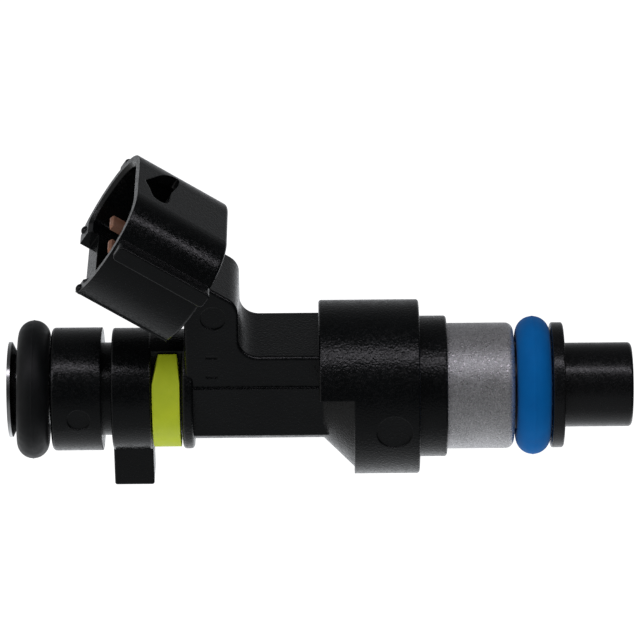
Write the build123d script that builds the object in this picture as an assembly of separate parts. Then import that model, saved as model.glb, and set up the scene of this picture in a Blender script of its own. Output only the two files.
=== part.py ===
from build123d import *
import os
from math import cos, radians, sin

os.makedirs("parts", exist_ok=True)

# Top-feed fuel injector. X runs along the injector towards the nozzle, +Z is the connector side.
# The origin is on the axis, where the nozzle cap's sleeve leaves its flange.

# Fuel rail end
rail_ring_od = 14.4
rail_ring_section = 3.36
rail_ring_x = -55.05
tube_r = 3.7
tube_wall = 0.6
tube_mouth_x = -57.72
flare_r = 4.98
flare_thick = 0.35

# Clip collars, colour ring and flange
collar1_x = (-53.2, -47.97)
collar1_r = 6.41
clip_groove_r = 4.83
collar2_x = (-46.92, -42.82)
collar2_r = 6.34
lug_x = (-47.02, -42.86)
lug_width = 4.0
lug_reach = 10.65
ring_seat_r = 4.9
colour_ring_x = (-42.69, -39.86)
colour_ring_r = 6.09
ring_opening = 24
key_r = 6.25
key_half = 2.3
flange_x = (-39.64, -38.47)
flange_r = 6.31

# Barrel, web and coil collar
barrel_r = 5.26
slab_half = 5.04
slab_z = 2.79
web_half = 4.75
web_top_z = 6.35
neck_x = (-39.25, -33.7)
coil_collar_x = (-21.87, -15.13)
coil_collar_r = 9.06
hood_x = -25.52
hood_z = 3.26
cone_start = (-25.1, 5.2)
cone_end = (-21.8, 8.4)
step_collar_end = -12.27
step_collar_r = 7.33

# Connector shell
shell_tilt = 33.3
shell_x = -46.71
shell_z = 20.03
shell_r = 8.58
shell_mid = -0.38
shell_top = 5.83
shell_round = 5.1
shell_bottom = -5.3
sole_bottom = -6.08
sole_half = 6.1
shell_length = 10.72
shell_wall = 1.15
socket_depth = 8.6
socket_round = 3.9
low_rim = (-5.6, 4.2)
rib_p = (0.95, 2.7)
rib_out = 9.6
blade_pitch = 5.0
blade_width = 2.05
blade_thick = 0.64
blade_low = -1.35

# Magnet and valve
yoke_r = 6.55
yoke_end = -5.33
coil_case_r = 8.1
core_end = -16.5
lift = 0.15
armature_r = 3.4
running_gap = 0.05
needle_r = 1.3
ball_r = 1.6
ball_x = 2.2
body_tip_r = 3.6
shoulder_r = 4.47

# Manifold end
manifold_ring_x = -3.3
manifold_ring_section = 3.6
manifold_ring_od = 14.4
cap_flange_x = (-1.46, -0.16)
cap_flange_r = 6.53
cap_r = 4.38
cap_end = 6.98


def turned(*points):
    """Solid of revolution about X from (x, r) points."""
    return revolve(make_face(Polyline(*points, close=True)), Axis.X)


def tube(x0, x1, r_out, r_in=0.0):
    """Cylinder or tube about X."""
    return turned((x0, r_in), (x1, r_in), (x1, r_out), (x0, r_out))


def rolled(x0, x1, r_out, edge, r_in=0.0):
    """Disc or ring about X with both outer edges rounded."""
    disc = tube(x0, x1, r_out)
    disc = fillet(disc.edges().filter_by(GeomType.CIRCLE), edge)
    if r_in > 0:
        disc -= tube(x0 - 1, x1 + 1, r_in)
    return disc


def block(x, y, z):
    """Box between two limits on each axis."""
    size = [hi - lo for lo, hi in (x, y, z)]
    mid = [(hi + lo) / 2 for lo, hi in (x, y, z)]
    return Pos(*mid) * Box(*size)


def prism(points, half):
    """Outline in the XZ plane, drawn out to y = -half and +half."""
    face = make_face(Polyline(*[(x, 0, z) for x, z in points], close=True))
    return extrude(face, amount=half, dir=(0, 1, 0), both=True)


# The connector's own frame: local x is lateral, local y is up its section, local z goes into the shell.
tilt = radians(shell_tilt)
mouth = Plane(origin=(shell_x, 0, shell_z), x_dir=(0, 1, 0), z_dir=(cos(tilt), 0, -sin(tilt)))


def at_mouth(p, s):
    """X and Z of a point p up the connector's section and s behind its mouth."""
    return shell_x + s * cos(tilt) + p * sin(tilt), shell_z - s * sin(tilt) + p * cos(tilt)


def section(inset, top_round, bottom_round):
    """Connector section, a circle cut flat above and below, drawn in by inset."""
    low = shell_bottom + inset
    high = shell_top - inset
    outline = Pos(0, shell_mid) * Circle(shell_r - inset) & Pos(0, (low + high) / 2) * Rectangle(30, high - low)
    corners = outline.vertices()
    outline = fillet(corners.filter_by(lambda v: v.Y > 0), top_round)
    return fillet(outline.vertices().filter_by(lambda v: v.Y < low + 0.01), bottom_round)


def shell_blank():
    """Outside of the connector: body, sole, side ribs and corner beads."""
    blank = extrude(section(0, shell_round, 0.3), amount=shell_length)
    blank = fillet(blank.faces().sort_by(Axis.Z)[-1].edges(), 0.4)
    sole = Rectangle(2 * sole_half, shell_bottom + 1 - sole_bottom, align=(Align.CENTER, Align.MIN))
    blank += Pos(0, sole_bottom, 0) * extrude(fillet(sole.vertices(), 0.25), amount=shell_length)
    rib = block((7.4, rib_out), rib_p, (0.15, shell_length))
    rib = fillet(rib.edges().filter_by(Axis.X), 0.45)
    rib = fillet(rib.faces().sort_by(Axis.X)[-1].edges(), 0.2)
    bead = Pos(sole_half, shell_bottom - 0.1, 0.25) * Sphere(0.55)
    for side in (rib, bead):
        blank += side
        blank += mirror(side, Plane.YZ)
    return blank


def shell_cuts():
    """Socket, its lead-in, the low rim below and the latch window above."""
    inner = extrude(section(shell_wall, socket_round, 0.9), amount=socket_depth)
    lead = loft([section(0.75, shell_round - 0.75, 0.9), Pos(0, 0, 0.35) * section(shell_wall, socket_round, 0.9)])
    rim = Pos((low_rim[0] + low_rim[1]) / 2, shell_bottom, 0.5) * Box(low_rim[1] - low_rim[0], 2.4, 1.2)
    window = make_face(
        Spline((0.3, 0.85), (2.3, 2.1), (4.0, 3.7), (4.3, 4.45), (2.9, 4.6), (-0.2, 3.75), (-2.5, 3.1), (-2.4, 1.95),
               (-0.8, 1.2), periodic=True)
    )
    window = Pos(0, shell_top - 2.4, 0) * extrude(Plane.XZ * window, amount=3.0, dir=(0, 1, 0))
    return inner + lead + rim + window


# Outer shape of the moulding
moulding = tube(*collar1_x, collar1_r)
collar1_rims = moulding.edges().filter_by(GeomType.CIRCLE).sort_by(Axis.X)
moulding = fillet(collar1_rims[0], 0.4)
moulding = fillet(moulding.edges().filter_by(GeomType.CIRCLE).sort_by(Axis.X)[-1], 0.12)
moulding += tube(collar1_x[1] - 0.5, collar2_x[0] + 0.5, clip_groove_r)
moulding += rolled(*collar2_x, collar2_r, 0.25)
moulding += tube(collar2_x[1] - 0.5, flange_x[0] + 0.5, ring_seat_r)
key = tube(collar2_x[1] - 0.3, flange_x[0] + 0.3, key_r)
moulding += key & block((-44, -39), (-key_half, key_half), (3, 7))
lug = block(lug_x, (-lug_width / 2, lug_width / 2), (-lug_reach, -6.15))
lug = fillet(lug.faces().sort_by(Axis.Z)[0].edges() + lug.edges().filter_by(Axis.Z), 0.25)
moulding += lug + block((lug_x[0] + 0.3, collar2_x[1] - 0.3), (-1.75, 1.75), (-6.6, -5.0))
moulding += rolled(*flange_x, flange_r, 0.4)
barrel = tube(flange_x[1] - 0.5, coil_collar_x[0] + 0.5, barrel_r)
barrel += block((flange_x[1] - 0.5, coil_collar_x[0]), (-6, 6), (-slab_z, slab_z))
moulding += barrel & block((-45, -20), (-slab_half, slab_half), (-9, 9))

neck_top = (at_mouth(-2.2, shell_length - 1), at_mouth(0.85, shell_length - 1))
neck_low = at_mouth(-2.2, shell_length)
slope = sin(tilt) / cos(tilt)
neck_corner = (neck_x[1], neck_top[1][1] - (neck_x[1] - neck_top[1][0]) * slope)
web = prism(
    [(neck_x[0], 0), (neck_x[0], neck_low[1]), neck_top[0], neck_top[1], neck_corner, (neck_x[1], web_top_z),
     (coil_collar_x[0] + 0.5, web_top_z), (coil_collar_x[0] + 0.5, 0)],
    web_half,
)
upright = web.edges().filter_by(Axis.Y)
web = fillet(upright.sort_by_distance((neck_corner[0], 0, neck_corner[1]))[0], 2.0)
upright = web.edges().filter_by(Axis.Y)
web = fillet(upright.sort_by_distance((neck_x[1], 0, web_top_z))[0], 2.0)
rim_edges = web.faces().sort_by(Axis.Y)[0].edges() + web.faces().sort_by(Axis.Y)[-1].edges()
web = fillet([edge for edge in rim_edges if edge.center().Z > 2.0], 0.4)
moulding += web

collar = tube(*coil_collar_x, coil_collar_r)
collar = fillet(collar.edges().filter_by(GeomType.CIRCLE).sort_by(Axis.X)[-1], 0.3)
cone = turned((cone_start[0], 0), cone_start, cone_end, (coil_collar_x[0] + 0.2, cone_end[1]), (coil_collar_x[0] + 0.2, 0))
hood = tube(hood_x, coil_collar_x[0] + 0.5, coil_collar_r) & block((-30, -20), (-10, 10), (hood_z, 10))
hood = fillet(hood.faces().sort_by(Axis.X)[0].edges().filter_by(GeomType.CIRCLE), 0.3)
moulding += cone + collar + hood
step = tube(coil_collar_x[1] - 0.5, step_collar_end, step_collar_r)
moulding += fillet(step.edges().filter_by(GeomType.CIRCLE).sort_by(Axis.X)[-1], 0.3)
moulding += mouth * shell_blank()
moulding -= mouth * shell_cuts()

# Ejector marks, shallow round recesses on both halves of the mould, and plain cavity marks
ejector_marks = (
    (-50.28, 0, collar1_r, 1.18, 0.24),
    (-17.8, -0.2, coil_collar_r, 1.86, 0.32),
    (-36.26, 11.0, web_half, 1.3, 0.18),
)
for x, z, radius, size, depth in ejector_marks:
    for side in (-1, 1):
        moulding -= Pos(x, side * radius, z) * Rot(90, 0, 0) * Cylinder(size, 2 * depth)
for z in (6.4, 4.1):
    moulding -= block((-37.1, -35.9), (-web_half - 0.5, -web_half + 0.12), (z - 0.15, z + 0.15))


# Metal and rubber at the rail end
bore_r = tube_r - tube_wall
core_seat = -38.0
inlet_tube = turned(
    (tube_mouth_x, flare_r - flare_thick), (tube_mouth_x, flare_r), (tube_mouth_x + flare_thick, flare_r),
    (tube_mouth_x + 0.9, tube_r), (-34.0, tube_r), (-34.0, bore_r), (tube_mouth_x + 1.2, bore_r),
)
rail_o_ring = Pos(rail_ring_x, 0, 0) * Rot(0, 90, 0) * Torus(
    (rail_ring_od - rail_ring_section) / 2, rail_ring_section / 2
)

# Inlet filter
filter_collar = tube(-52.5, -51.0, bore_r, 2.5)
filter_cage = tube(-51.0, -50.4, 2.9, 2.2) + tube(-43.0, -42.0, 2.6)
for index in range(4):
    stay = block((-50.5, -42.9), (2.2, 2.6), (-0.35, 0.35))
    filter_cage += Rot(index * 90, 0, 0) * stay
filter_mesh = tube(-50.4, -43.0, 2.2, 2.05)

# Fixed core, adjuster and spring
stator_core = tube(-34.0, core_end, tube_r, 1.6) + tube(core_seat, -34.0, bore_r, 1.6)
adjuster_x = (-30.0, -22.0)
spring_adjuster = tube(*adjuster_x, 1.6, 0.9) - block((-31, -21), (-0.2, 0.2), (0, 3))
spring_seat = -14.5
spring_path = Helix(pitch=1.15, height=6.9, radius=1.15)
spring_section = Plane(origin=spring_path @ 0, z_dir=spring_path % 0) * Circle(0.2)
return_spring = Pos(adjuster_x[1] + 0.3, 0, 0) * Rot(0, 90, 0) * sweep(spring_section, path=spring_path)

# Moving valve group
armature_x = (core_end + lift + 0.02, -10.5)
armature = tube(*armature_x, armature_r, needle_r)
armature -= tube(armature_x[0] - 1, spring_seat, 1.5)
for index in range(4):
    port = Pos(-12.2, 0, 0) * Rot(index * 90, 0, 0) * Pos(0, 0, 2.5) * Cylinder(0.6, 2.6)
    armature -= port
ball = Pos(ball_x, 0, 0) * Sphere(ball_r)
needle_tube = tube(spring_seat, ball_x - 0.5, needle_r, 0.8) - ball
for index in range(2):
    needle_tube -= Pos(-8.5, 0, 0) * Rot(index * 90, 0, 0) * Cylinder(0.45, 4)
valve_ball = ball

# Valve body, seat and plates
guide_r = armature_r + running_gap
valve_body = turned(
    (-15.5, guide_r), (-15.5, 4.2), (-9.0, 4.2), (-9.0, shoulder_r), (-4.9, shoulder_r), (-4.9, body_tip_r),
    (5.2, body_tip_r), (5.2, 2.6), (0.0, 2.6), (0.0, 2.1), (-9.6, 2.1), (-9.6, guide_r),
)
guide_disc = tube(0.0, 0.5, 2.6, needle_r + running_gap)
for index in range(6):
    guide_disc -= Rot(index * 60, 0, 0) * Pos(0.25, 0, 1.97) * Rot(0, 90, 0) * Cylinder(0.3, 1)
seat_line = ball_x + ball_r * 2 ** 0.5 + 0.012
valve_seat = turned(
    (0.5, 2.6), (5.0, 2.6), (5.0, 0.45), (seat_line - 0.45, 0.45), (seat_line - 1.5, 1.5),
    (seat_line - 1.5, ball_r + running_gap), (0.5, ball_r + running_gap),
)
for index in range(4):
    valve_seat -= Rot(index * 90, 0, 0) * block((0.4, 2.9), (-0.4, 0.4), (1.4, 2.1))
orifice_plate = tube(5.0, 5.2, 2.6)
for index in range(6):
    orifice_plate -= Rot(index * 60, 0, 0) * Pos(5.1, 0, 0.28) * Rot(0, 90, 0) * Cylinder(0.09, 1)
flux_break_ring = tube(-18.0, -15.5, 4.2, tube_r)

# Coil and magnetic circuit
case_x = (-21.3, -15.9)
plate_thick = 0.8
coil_x = (case_x[0] + plate_thick, case_x[1] - 0.7)
yoke_housing = tube(coil_x[0], case_x[1], coil_case_r) - tube(coil_x[0] - 1, coil_x[1], coil_case_r - 0.8)
yoke_nose = tube(case_x[1] - 0.3, yoke_end, yoke_r)
yoke_nose = fillet(yoke_nose.edges().filter_by(GeomType.CIRCLE).sort_by(Axis.X)[-1], 0.85)
yoke_housing += yoke_nose
yoke_housing -= tube(-30, -9.0, 4.2) + tube(-10, 0, shoulder_r)
yoke_plate = tube(case_x[0], coil_x[0], coil_case_r, tube_r)
coil_bobbin = turned(
    (coil_x[0], tube_r), (coil_x[0], 7.2), (coil_x[0] + 0.5, 7.2), (coil_x[0] + 0.5, 4.8), (coil_x[1] - 0.5, 4.8),
    (coil_x[1] - 0.5, 7.2), (coil_x[1], 7.2), (coil_x[1], 4.2), (-18.0, 4.2), (-18.0, tube_r),
)
coil_winding = tube(coil_x[0] + 0.5, coil_x[1] - 0.5, 7.0, 4.8)


def bar(start, end, width, thick):
    """Flat strip between two (x, z) points with rounded ends, centred on y = 0."""
    run = ((end[0] - start[0]) ** 2 + (end[1] - start[1]) ** 2) ** 0.5
    frame = Plane(origin=(start[0], 0, start[1]), x_dir=(end[0] - start[0], 0, end[1] - start[1]), z_dir=(0, -1, 0))
    strip = extrude(Pos(run / 2, 0) * Rectangle(run, thick) + Circle(thick / 2) + Pos(run, 0) * Circle(thick / 2),
                    amount=width / 2, both=True)
    return frame * strip


# Terminals, from the blade tips in the socket to the coil
lead_z = 5.15
knee = at_mouth(blade_low, 12.4)
foot = (knee[0] + 0.6, lead_z)
blade = extrude(Rectangle(blade_width, blade_thick), amount=8.2)
blade = Pos(0, blade_low, 0.85) * chamfer(blade.edges().group_by(Axis.Z)[0], 0.22)
terminal = mouth * blade
terminal += bar(at_mouth(blade_low, 8.5), knee, 1.6, blade_thick)
terminal += bar(knee, foot, 1.6, blade_thick)
terminal += bar(foot, (coil_x[0] - 0.35, lead_z), 1.6, blade_thick)
terminal_a = Pos(0, -blade_pitch / 2, 0) * terminal
terminal_b = Pos(0, blade_pitch / 2, 0) * terminal
yoke_plate -= terminal_a + terminal_b

# The moulding is cast round the parts inside it
moulding -= tube(-60, case_x[0], tube_r) + tube(*case_x, coil_case_r) + tube(case_x[1], -10, yoke_r)
moulding -= terminal_a + terminal_b

# Colour ring, open at the top and wider behind, its ends narrowed
colour_ring = tube(*colour_ring_x, colour_ring_r, ring_seat_r)
ring_end = colour_ring_r * sin(radians(ring_opening))
colour_ring -= block((-44, -39), (-ring_end, ring_end), (2, 8))
colour_ring -= prism([(-43.5, 3.4), (colour_ring_x[0], 3.4), (-42.04, 5.56), (-42.04, 7), (-43.5, 7)], 8)
colour_ring -= prism([(-39.2, 3.4), (colour_ring_x[1], 3.4), (-40.14, 5.56), (-40.14, 7), (-39.2, 7)], 8)

# Manifold end
manifold_o_ring = Pos(manifold_ring_x, 0, 0) * Rot(0, 90, 0) * Torus(
    (manifold_ring_od - manifold_ring_section) / 2, manifold_ring_section / 2
)
nozzle_cap = rolled(*cap_flange_x, cap_flange_r, 0.25)
sleeve = tube(cap_flange_x[0] + 0.4, cap_end, cap_r)
nozzle_cap += fillet(sleeve.edges().filter_by(GeomType.CIRCLE).sort_by(Axis.X)[-1], 0.42)
nozzle_cap -= tube(-5, 5.2, body_tip_r) + turned((5.0, 0), (5.0, 2.2), (5.4, 2.2), (7.2, 2.9), (7.2, 0))

nodes = {
    "resin_body": moulding,
    "inlet_tube": inlet_tube,
    "rail_o_ring": rail_o_ring,
    "filter_collar": filter_collar,
    "filter_cage": filter_cage,
    "filter_mesh": filter_mesh,
    "stator_core": stator_core,
    "spring_adjuster": spring_adjuster,
    "return_spring": return_spring,
    "armature": armature,
    "needle_tube": needle_tube,
    "valve_ball": valve_ball,
    "valve_body": valve_body,
    "valve_seat": valve_seat,
    "guide_disc": guide_disc,
    "orifice_plate": orifice_plate,
    "flux_break_ring": flux_break_ring,
    "coil_bobbin": coil_bobbin,
    "coil_winding": coil_winding,
    "yoke_housing": yoke_housing,
    "yoke_plate": yoke_plate,
    "terminal_near": terminal_a,
    "terminal_far": terminal_b,
    "colour_ring": colour_ring,
    "manifold_o_ring": manifold_o_ring,
    "nozzle_cap": nozzle_cap,
}
for name, shape in nodes.items():
    export_step(shape, f"parts/{name}.step")
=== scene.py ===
"""Top-feed fuel injector, seen from its connector side on a plain white ground."""
import math

import bpy
import bmesh
from mathutils import Matrix, Vector


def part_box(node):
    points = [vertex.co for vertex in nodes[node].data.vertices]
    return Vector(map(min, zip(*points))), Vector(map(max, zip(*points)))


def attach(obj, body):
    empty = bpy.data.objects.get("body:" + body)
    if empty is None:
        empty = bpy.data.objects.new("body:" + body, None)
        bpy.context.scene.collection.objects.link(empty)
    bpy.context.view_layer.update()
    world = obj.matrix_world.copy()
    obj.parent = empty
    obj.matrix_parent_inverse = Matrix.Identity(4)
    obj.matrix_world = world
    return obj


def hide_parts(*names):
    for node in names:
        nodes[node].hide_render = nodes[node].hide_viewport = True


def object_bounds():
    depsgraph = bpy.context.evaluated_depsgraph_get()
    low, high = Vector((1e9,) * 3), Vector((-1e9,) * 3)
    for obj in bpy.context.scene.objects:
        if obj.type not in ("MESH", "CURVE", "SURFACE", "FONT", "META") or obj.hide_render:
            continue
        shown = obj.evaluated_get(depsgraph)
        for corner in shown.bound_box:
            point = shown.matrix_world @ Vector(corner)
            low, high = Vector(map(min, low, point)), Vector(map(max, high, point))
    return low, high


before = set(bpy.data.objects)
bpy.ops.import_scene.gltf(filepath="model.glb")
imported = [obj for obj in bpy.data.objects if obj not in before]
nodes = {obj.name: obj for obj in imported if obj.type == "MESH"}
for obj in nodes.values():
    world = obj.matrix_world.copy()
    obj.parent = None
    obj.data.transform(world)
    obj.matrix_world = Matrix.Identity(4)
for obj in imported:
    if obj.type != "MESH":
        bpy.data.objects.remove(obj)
cad_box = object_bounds()
MM = 0.001


# ---------------------------------------------------------------- materials

class Shader:
    """A node material built a few nodes at a time."""

    def __init__(self, name, **sockets):
        self.material = bpy.data.materials.new(name)
        self.material.use_nodes = True
        self.tree = self.material.node_tree
        self.bsdf = self.tree.nodes["Principled BSDF"]
        for key, value in sockets.items():
            self.bsdf.inputs[key.replace("_", " ")].default_value = value
        self.position = self.add("ShaderNodeTexCoord").outputs["Object"]

    def add(self, kind, links=None, **settings):
        node = self.tree.nodes.new(kind)
        for key, value in settings.items():
            if hasattr(node, key):
                setattr(node, key, value)
            else:
                node.inputs[key.replace("_", " ")].default_value = value
        for socket, source in (links or {}).items():
            self.tree.links.new(source, node.inputs[socket])
        return node

    def scaled(self, x, y, z):
        return self.add("ShaderNodeMapping", {"Vector": self.position}, Scale=(x, y, z)).outputs["Vector"]

    def noise(self, scale, detail=2.0, vector=None, roughness=0.5):
        source = vector or self.position
        return self.add("ShaderNodeTexNoise", {"Vector": source}, Scale=scale, Detail=detail,
                        Roughness=roughness).outputs["Fac"]

    def cells(self, scale):
        """Distance from the middle of each grain."""
        grain = self.add("ShaderNodeTexVoronoi", {"Vector": self.position}, Scale=scale)
        return grain.outputs["Distance"]

    def grains(self, scale):
        """A different number from 0 to 1 on each grain."""
        colour = self.add("ShaderNodeTexVoronoi", {"Vector": self.position}, Scale=scale).outputs["Color"]
        return self.add("ShaderNodeSeparateColor", {"Color": colour}).outputs["Red"]

    def span(self, value, low, high, out_low, out_high):
        """The value carried from low..high onto out_low..out_high, and held at the ends."""
        limits = {"From_Min": low, "From_Max": high, "To_Min": out_low, "To_Max": out_high}
        return self.add("ShaderNodeMapRange", {"Value": value}, **limits).outputs["Result"]

    def blend(self, factor, first, second):
        node = self.add("ShaderNodeMix", data_type="RGBA")
        self.tree.links.new(factor, node.inputs["Factor"])
        for socket, value in ((node.inputs[6], first), (node.inputs[7], second)):
            if isinstance(value, tuple):
                socket.default_value = (*value, 1.0)
            else:
                self.tree.links.new(value, socket)
        return node.outputs[2]

    def times(self, first, second):
        node = self.add("ShaderNodeMath", operation="MULTIPLY")
        self.tree.links.new(first, node.inputs[0])
        if isinstance(second, float):
            node.inputs[1].default_value = second
        else:
            self.tree.links.new(second, node.inputs[1])
        return node.outputs[0]

    def plus(self, first, second):
        node = self.add("ShaderNodeMath", operation="ADD")
        self.tree.links.new(first, node.inputs[0])
        self.tree.links.new(second, node.inputs[1])
        return node.outputs[0]

    def to(self, socket, source):
        self.tree.links.new(source, self.bsdf.inputs[socket])

    def relief(self, height, distance, strength=1.0, edge=0.0):
        bump = self.add("ShaderNodeBump", {"Height": height}, Distance=distance, Strength=strength)
        if edge > 0:
            soft = self.add("ShaderNodeBevel", Radius=edge, samples=6)
            self.tree.links.new(soft.outputs["Normal"], bump.inputs["Normal"])
        self.to("Normal", bump.outputs["Normal"])


def spark_resin(name, shiny=0.1, dull=0.36, grain=5000.0, depth=3.0e-5):
    """Black glass-filled resin with the fine grain of a spark-eroded mould."""
    s = Shader(name, Specular_IOR_Level=0.5)
    fine = s.noise(grain, 1.0, roughness=0.5)
    pits = s.cells(grain * 0.8)
    cloud = s.noise(240.0, 3.0)
    patchy = s.span(cloud, 0.3, 0.7, 0.0, 1.0)
    s.to("Base Color", s.blend(patchy, (0.0013, 0.0017, 0.002), (0.0028, 0.0033, 0.0037)))
    s.to("Roughness", s.span(s.grains(grain), 0.0, 1.0, shiny, dull))
    height = s.plus(s.times(fine, 0.8), s.times(pits, 0.6))
    place = s.add("ShaderNodeSeparateXYZ", {"Vector": s.position}).outputs
    # The grain is shallower on the clip collars and on the connector
    collars = s.span(place["X"], -46 * MM, -36 * MM, 0.5, 1.0)
    connector = s.span(place["Z"], 9 * MM, 13 * MM, 1.0, 0.65)
    s.relief(s.times(height, s.times(collars, connector)), depth, 1.0, edge=1.4e-4)
    return s.material


def gloss_resin(name):
    """Smooth black moulding with faint flow and handling marks."""
    s = Shader(name, Specular_IOR_Level=0.58)
    streak = s.noise(900.0, 3.0, s.scaled(0.15, 1.0, 1.0))
    s.to("Base Color", s.blend(streak, (0.003, 0.0031, 0.0036), (0.005, 0.0051, 0.0057)))
    s.to("Roughness", s.span(s.grains(5200.0), 0.0, 1.0, 0.12, 0.36))
    s.relief(s.noise(6500.0, 1.0), 1.2e-5, 1.0, edge=8.0e-5)
    return s.material


def rubber(name, dark, light, rough, level, sheen=0.0):
    """Moulded seal rubber: satin skin, faint bloom and dust."""
    s = Shader(name, Specular_IOR_Level=level, Sheen_Weight=sheen, Sheen_Roughness=0.35)
    bloom = s.noise(420.0, 4.0)
    dust = s.span(s.noise(5200.0, 2.0), 0.68, 0.76, 0.0, 0.35)
    colour = s.blend(s.span(bloom, 0.3, 0.7, 0.0, 1.0), dark, light)
    s.to("Base Color", s.blend(dust, colour, tuple(c * 1.15 + 0.003 for c in light)))
    s.to("Roughness", s.span(s.noise(1300.0, 3.0), 0.3, 0.7, rough - 0.06, rough + 0.08))
    s.relief(s.noise(3800.0, 3.0), 6.0e-6, 0.8)
    return s.material


def blasted_steel(name):
    """Bead-blasted zinc-grey steel with a fine sparkle."""
    s = Shader(name, Metallic=0.8)
    grain = s.noise(7000.0, 1.0, roughness=0.6)
    patch = s.noise(320.0, 3.0)
    tone = s.plus(s.times(grain, 0.75), s.times(patch, 0.25))
    s.to("Base Color", s.blend(s.span(tone, 0.35, 0.65, 0.0, 1.0), (0.4, 0.4, 0.41), (0.72, 0.71, 0.73)))
    s.to("Roughness", s.span(s.grains(5600.0), 0.0, 1.0, 0.24, 0.5))
    s.relief(s.plus(grain, s.times(s.cells(5600.0), 0.6)), 3.4e-5, 1.0, edge=1.0e-4)
    return s.material


def turned_steel(name, base=(0.55, 0.55, 0.55), rough=0.24):
    """Steel turned about the X axis: fine rings and a few scratches."""
    s = Shader(name, Metallic=1.0)
    ring = s.noise(5200.0, 2.0, s.scaled(1.0, 0.02, 0.02))
    wipe = s.noise(800.0, 4.0)
    dark = tuple(c * 0.72 for c in base)
    s.to("Base Color", s.blend(s.span(ring, 0.3, 0.7, 0.0, 1.0), dark, base))
    s.to("Roughness", s.span(wipe, 0.3, 0.7, rough - 0.05, rough + 0.1))
    s.relief(ring, 5.0e-6, 0.7, edge=6.0e-5)
    return s.material


def strip_bronze(name):
    """Rolled terminal strip, lightly tarnished, drawn along its length."""
    s = Shader(name, Metallic=0.6)
    drawn = s.noise(3000.0, 3.0, s.scaled(0.12, 1.0, 0.12))
    stain = s.noise(700.0, 3.0)
    colour = s.blend(s.span(stain, 0.35, 0.65, 0.0, 1.0), (0.5, 0.24, 0.15), (0.66, 0.36, 0.25))
    s.to("Base Color", s.blend(s.span(drawn, 0.6, 0.8, 0.0, 0.4), colour, (0.5, 0.24, 0.13)))
    s.to("Roughness", s.span(drawn, 0.3, 0.7, 0.3, 0.46))
    s.relief(drawn, 6.0e-6, 0.7, edge=7.0e-5)
    return s.material


def lime_plastic(name):
    """Unfilled coloured plastic, matt from the mould and slightly translucent."""
    s = Shader(name, Subsurface_Weight=0.12, Subsurface_Scale=0.0006)
    s.bsdf.inputs["Subsurface Radius"].default_value = (1.0, 1.0, 0.25)
    cloud = s.noise(520.0, 4.0)
    speck = s.span(s.noise(4200.0, 2.0), 0.66, 0.75, 0.0, 0.45)
    colour = s.blend(s.span(cloud, 0.3, 0.7, 0.0, 1.0), (0.52, 0.64, 0.014), (0.6, 0.71, 0.02))
    s.to("Base Color", s.blend(speck, colour, (0.66, 0.7, 0.12)))
    s.to("Roughness", s.span(s.noise(1700.0, 3.0), 0.3, 0.7, 0.46, 0.6))
    s.relief(s.noise(5200.0, 3.0), 1.6e-5, 0.8, edge=1.2e-4)
    return s.material


def woven_mesh(name):
    """Filter cloth: a fine square weave in relief."""
    s = Shader(name, Metallic=1.0, Roughness=0.42)
    threads = [
        s.add("ShaderNodeTexWave", {"Vector": s.position}, Scale=1600.0, bands_direction=axis).outputs["Fac"]
        for axis in ("X", "Z")
    ]
    weave = s.times(*threads)
    s.to("Base Color", s.blend(weave, (0.1, 0.1, 0.1), (0.5, 0.5, 0.48)))
    s.relief(weave, 4.0e-5)
    return s.material


def wound_wire(name):
    """Enamelled copper laid in even turns round the X axis."""
    s = Shader(name, Metallic=1.0, Roughness=0.3)
    turns = s.add("ShaderNodeTexWave", {"Vector": s.position}, Scale=2600.0, bands_direction="X",
                  Distortion=0.4).outputs["Fac"]
    s.to("Base Color", s.blend(turns, (0.22, 0.07, 0.03), (0.75, 0.32, 0.14)))
    s.relief(turns, 6.0e-5)
    return s.material


def pale_nylon(name):
    """Natural nylon with a soft mottle."""
    s = Shader(name, Subsurface_Weight=0.1, Subsurface_Scale=0.0008)
    s.to("Base Color", s.blend(s.noise(900.0, 3.0), (0.6, 0.58, 0.5), (0.72, 0.7, 0.62)))
    s.to("Roughness", s.span(s.noise(2500.0, 2.0), 0.3, 0.7, 0.4, 0.55))
    s.relief(s.noise(4000.0, 2.0), 8.0e-6, 0.7)
    return s.material


RESIN = spark_resin("spark resin")
SMOOTH = gloss_resin("gloss resin")
STEEL = turned_steel("turned steel")
NYLON = pale_nylon("pale nylon")
BRONZE = strip_bronze("terminal strip")
BLACK_RUBBER = rubber("black rubber", (0.002, 0.0024, 0.0028), (0.0038, 0.0044, 0.005), rough=0.48,
                      level=0.42, sheen=0.03)
BLUE_RUBBER = rubber("blue rubber", (0.0005, 0.125, 0.42), (0.001, 0.145, 0.47), rough=0.68,
                     level=0.1, sheen=0.08)

finish_of = {
    "resin_body": RESIN,
    "inlet_tube": turned_steel("drawn steel", (0.82, 0.82, 0.82), 0.16),
    "rail_o_ring": BLACK_RUBBER,
    "manifold_o_ring": BLUE_RUBBER,
    "filter_collar": turned_steel("turned brass", (0.75, 0.55, 0.25), 0.25),
    "filter_cage": NYLON,
    "filter_mesh": woven_mesh("filter cloth"),
    "coil_bobbin": NYLON,
    "coil_winding": wound_wire("wound copper"),
    "yoke_housing": blasted_steel("blasted steel"),
    # The valve body's near-black colour is painted shade: it stands for the shade in the tight gap between
    # the yoke housing and the blue ring.
    "valve_body": turned_steel("steel painted with gap shade", (0.09, 0.09, 0.095), 0.3),
    "terminal_near": BRONZE,
    "terminal_far": BRONZE,
    "colour_ring": lime_plastic("lime plastic"),
    "nozzle_cap": SMOOTH,
}
for name, node in nodes.items():
    node.data.materials.clear()
    node.data.materials.append(finish_of.get(name, STEEL))


# ---------------------------------------------------------------- seal rings

RING_STEPS = 180            # divisions round the axis
CORD_STEPS = 24             # divisions round half of the cord
FLASH_HEIGHT = 0.03 * MM
FLASH_HALF = 0.02           # half width of the flash line, in radians round the cord
FLASH_SIDES = (-0.09, -0.045, -0.018, 0.018, 0.045, 0.09)
WAVINESS = 0.012 * MM


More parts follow.
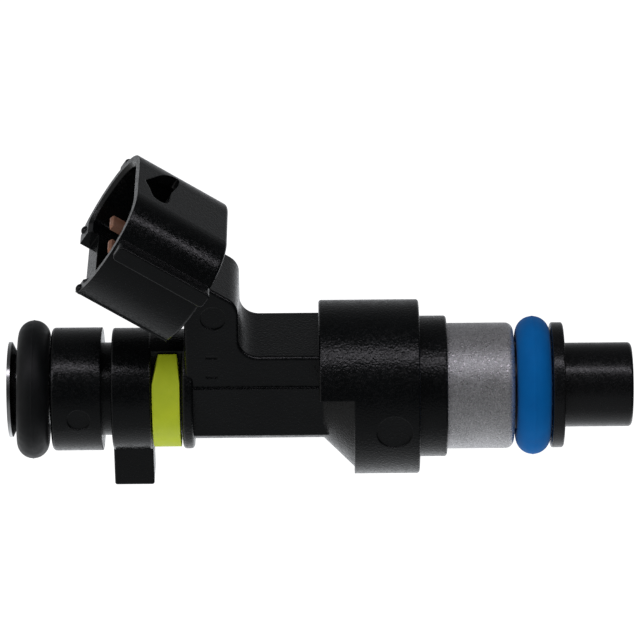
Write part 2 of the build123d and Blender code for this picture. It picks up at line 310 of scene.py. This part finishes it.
def seal_ring(name, node, material, lean, nudge=0.0, swing=0.0):
    """Moulded O-ring in place of a CAD torus: a round cord with a thin flash line outside and inside.

    nudge moves the whole ring towards +X. lean and swing are how far its top and its front sit
    towards +X, as on a ring rolled into its groove by hand.
    """
    lo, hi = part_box(node)
    centre_x = (lo.x + hi.x) / 2 + nudge
    cord = (hi.x - lo.x) / 2
    ring = hi.z - cord
    half = [*FLASH_SIDES, *(math.pi * k / CORD_STEPS for k in range(2, CORD_STEPS - 1))]
    section = sorted([*half, *(math.pi + a for a in half)])
    mesh = bpy.data.meshes.new(name)
    bm = bmesh.new()
    loops = []
    for step in range(RING_STEPS):
        turn = 2 * math.pi * step / RING_STEPS
        wave = WAVINESS * math.sin(3 * turn + 0.7)
        loop = []
        for a in section:
            ridge = FLASH_HEIGHT * (abs(math.sin(a)) < FLASH_HALF)
            radial = ring + (cord + ridge) * math.cos(a)
            x = centre_x + cord * math.sin(a) + lean * math.sin(turn) + swing * math.cos(turn) + wave
            loop.append(bm.verts.new((x, -radial * math.cos(turn), radial * math.sin(turn))))
        loops.append(loop)
    count = len(section)
    for step, loop in enumerate(loops):
        following = loops[(step + 1) % len(loops)]
        for k in range(count):
            bm.faces.new((loop[k], following[k], following[(k + 1) % count], loop[(k + 1) % count]))
    bmesh.ops.recalc_face_normals(bm, faces=bm.faces)
    for face in bm.faces:
        face.smooth = True
    bm.to_mesh(mesh)
    bm.free()
    piece = bpy.data.objects.new(name, mesh)
    bpy.context.scene.collection.objects.link(piece)
    mesh.materials.append(material)
    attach(piece, "injector")
    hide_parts(node)


seal_ring("rail_seal_ring", "rail_o_ring", BLACK_RUBBER, lean=0.19 * MM,
          nudge=-0.14 * MM, swing=0.12 * MM)
seal_ring("manifold_seal_ring", "manifold_o_ring", BLUE_RUBBER, lean=0.0)


# ---------------------------------------------------------------- light, ground and camera

VIEW_UP = math.radians(30.0)
VIEW_ROLL = math.radians(-0.5)
VIEW_DISTANCE = 413.96 * MM
VIEW_AIM = Vector((-25.35, 0, 8.03)) * MM
FOCAL_LENGTH = 225.7
GROUND_Z = -600 * MM
GROUND_HALF = 4.0

# Brightness of the studio by angle round the X axis: 0 in front, 90 above, -90 below, 180 behind
STUDIO = (
    (-180, 0.32), (-170, 0.4), (-152, 0.9), (-130, 0.95), (-110, 0.88), (-90, 0.58), (-70, 0.4),
    (-50, 0.2), (-30, 0.17), (-10, 0.14), (10, 0.045), (30, 0.03), (55, 0.08), (90, 0.06),
    (110, 0.04), (130, 0.065), (150, 0.11), (170, 0.22), (180, 0.3),
)
TINT = (0.975, 0.998, 1.03)
# Brightness of the studio beyond the rail end and beyond the nozzle end
LEFT_LEVEL = 0.28
RIGHT_LEVEL = 0.03


def around(angle, distance):
    """A point round the X axis; 0 is straight in front, 90 straight above."""
    lo, hi = cad_box
    a = math.radians(angle)
    return Vector(((lo.x + hi.x) / 2, -math.cos(a) * distance, math.sin(a) * distance))


def softbox(name, angle, distance, length, height, radiance, colour=(1.0, 1.0, 1.0), glossy=True):
    """Area light facing the object, its long side along X."""
    data = bpy.data.lights.new(name, "AREA")
    data.shape = "RECTANGLE"
    data.size, data.size_y = length, height
    data.energy = radiance * math.pi * length * height
    light = bpy.data.objects.new(name, data)
    bpy.context.scene.collection.objects.link(light)
    light.location = around(angle, distance)
    light.visible_glossy = glossy
    data.color = colour
    along = Vector((1, 0, 0))
    back = (light.location - Vector((light.location.x, 0, 0))).normalized()
    light.rotation_mode = "QUATERNION"
    light.rotation_quaternion = Matrix((along, back.cross(along), back)).transposed().to_quaternion()


def studio_world():
    """White to the camera; a soft wrap-round studio to everything the object reflects."""
    world = bpy.data.worlds.new("studio")
    bpy.context.scene.world = world
    world.use_nodes = True
    tree = world.node_tree
    tree.nodes.clear()

    def node(kind, *sources, **settings):
        made = tree.nodes.new(kind)
        for key, value in settings.items():
            setattr(made, key, value)
        for index, source in enumerate(sources):
            if isinstance(source, (int, float)):
                made.inputs[index].default_value = source
            else:
                tree.links.new(source, made.inputs[index])
        return made

    direction = node("ShaderNodeSeparateXYZ", node("ShaderNodeTexCoord").outputs["Generated"]).outputs
    front = node("ShaderNodeMath", direction["Y"], -1.0, operation="MULTIPLY").outputs[0]
    angle = node("ShaderNodeMath", direction["Z"], front, operation="ARCTAN2").outputs[0]
    fraction = node("ShaderNodeMapRange", angle, -math.pi, math.pi, 0.0, 1.0).outputs[0]
    ramp = node("ShaderNodeValToRGB", fraction)
    stops = ramp.color_ramp.elements
    for degrees, level in STUDIO[1:-1]:
        stops.new((degrees + 180) / 360)
    for stop, (degrees, level) in zip(stops, STUDIO):
        stop.position = (degrees + 180) / 360
        stop.color = (*(level * c for c in TINT), 1.0)
    wrapped = ramp.outputs["Color"]
    for side, level in ((-1, LEFT_LEVEL), (1, RIGHT_LEVEL)):
        end = node("ShaderNodeMapRange", direction["X"], side * 0.5, side * 0.8, 0.0, 1.0).outputs[0]
        wrap = node("ShaderNodeMix", data_type="RGBA")
        tree.links.new(end, wrap.inputs["Factor"])
        tree.links.new(wrapped, wrap.inputs[6])
        wrap.inputs[7].default_value = (level, level, level, 1.0)
        wrapped = wrap.outputs[2]
    studio = node("ShaderNodeBackground", wrapped)
    white = node("ShaderNodeBackground")
    white.inputs["Color"].default_value = (1, 1, 1, 1)
    direct = node("ShaderNodeLightPath").outputs["Is Camera Ray"]
    seen = node("ShaderNodeMixShader", direct, studio.outputs[0], white.outputs[0])
    node("ShaderNodeOutputWorld", seen.outputs[0])


softbox("key", angle=72, distance=0.5, length=1.6, height=0.1, radiance=1.9,
        colour=(1.0, 0.965, 1.05))
softbox("low_fill", angle=-75, distance=0.5, length=0.7, height=0.3, radiance=2.1, glossy=False)
softbox("front_fill", angle=12, distance=0.5, length=0.8, height=0.5, radiance=0.88, glossy=False)
softbox("top_fill", angle=108, distance=0.5, length=0.7, height=0.4, radiance=0.8, glossy=False)
studio_world()

ground = bpy.data.meshes.new("ground")
bm = bmesh.new()
bmesh.ops.create_grid(bm, x_segments=8, y_segments=8, size=GROUND_HALF)
bm.to_mesh(ground)
bm.free()
floor = bpy.data.objects.new("ground", ground)
bpy.context.scene.collection.objects.link(floor)
floor.location = (0, 0, GROUND_Z)
pale = Shader("pale ground", Roughness=0.9)
pale.to("Base Color", pale.blend(pale.noise(3.0), (0.93, 0.93, 0.93), (0.96, 0.96, 0.96)))
pale.bsdf.inputs["Emission Color"].default_value = (1, 1, 1, 1)
pale.bsdf.inputs["Emission Strength"].default_value = 1.0
ground.materials.append(pale.material)
floor.visible_glossy = False
floor.visible_diffuse = False

camera_data = bpy.data.cameras.new("camera")
camera_data.sensor_width = 36.0
camera_data.lens = FOCAL_LENGTH
camera_data.clip_start, camera_data.clip_end = 0.01, 50.0
camera = bpy.data.objects.new("camera", camera_data)
bpy.context.scene.collection.objects.link(camera)
back = Vector((0, -math.cos(VIEW_UP), math.sin(VIEW_UP)))
camera.location = VIEW_AIM + back * VIEW_DISTANCE
camera.rotation_mode = "QUATERNION"
roll = Matrix.Rotation(VIEW_ROLL, 3, "Z")
camera.rotation_quaternion = (back.to_track_quat("Z", "Y").to_matrix() @ roll).to_quaternion()
bpy.context.scene.camera = camera
bpy.context.scene.view_settings.view_transform = "Standard"
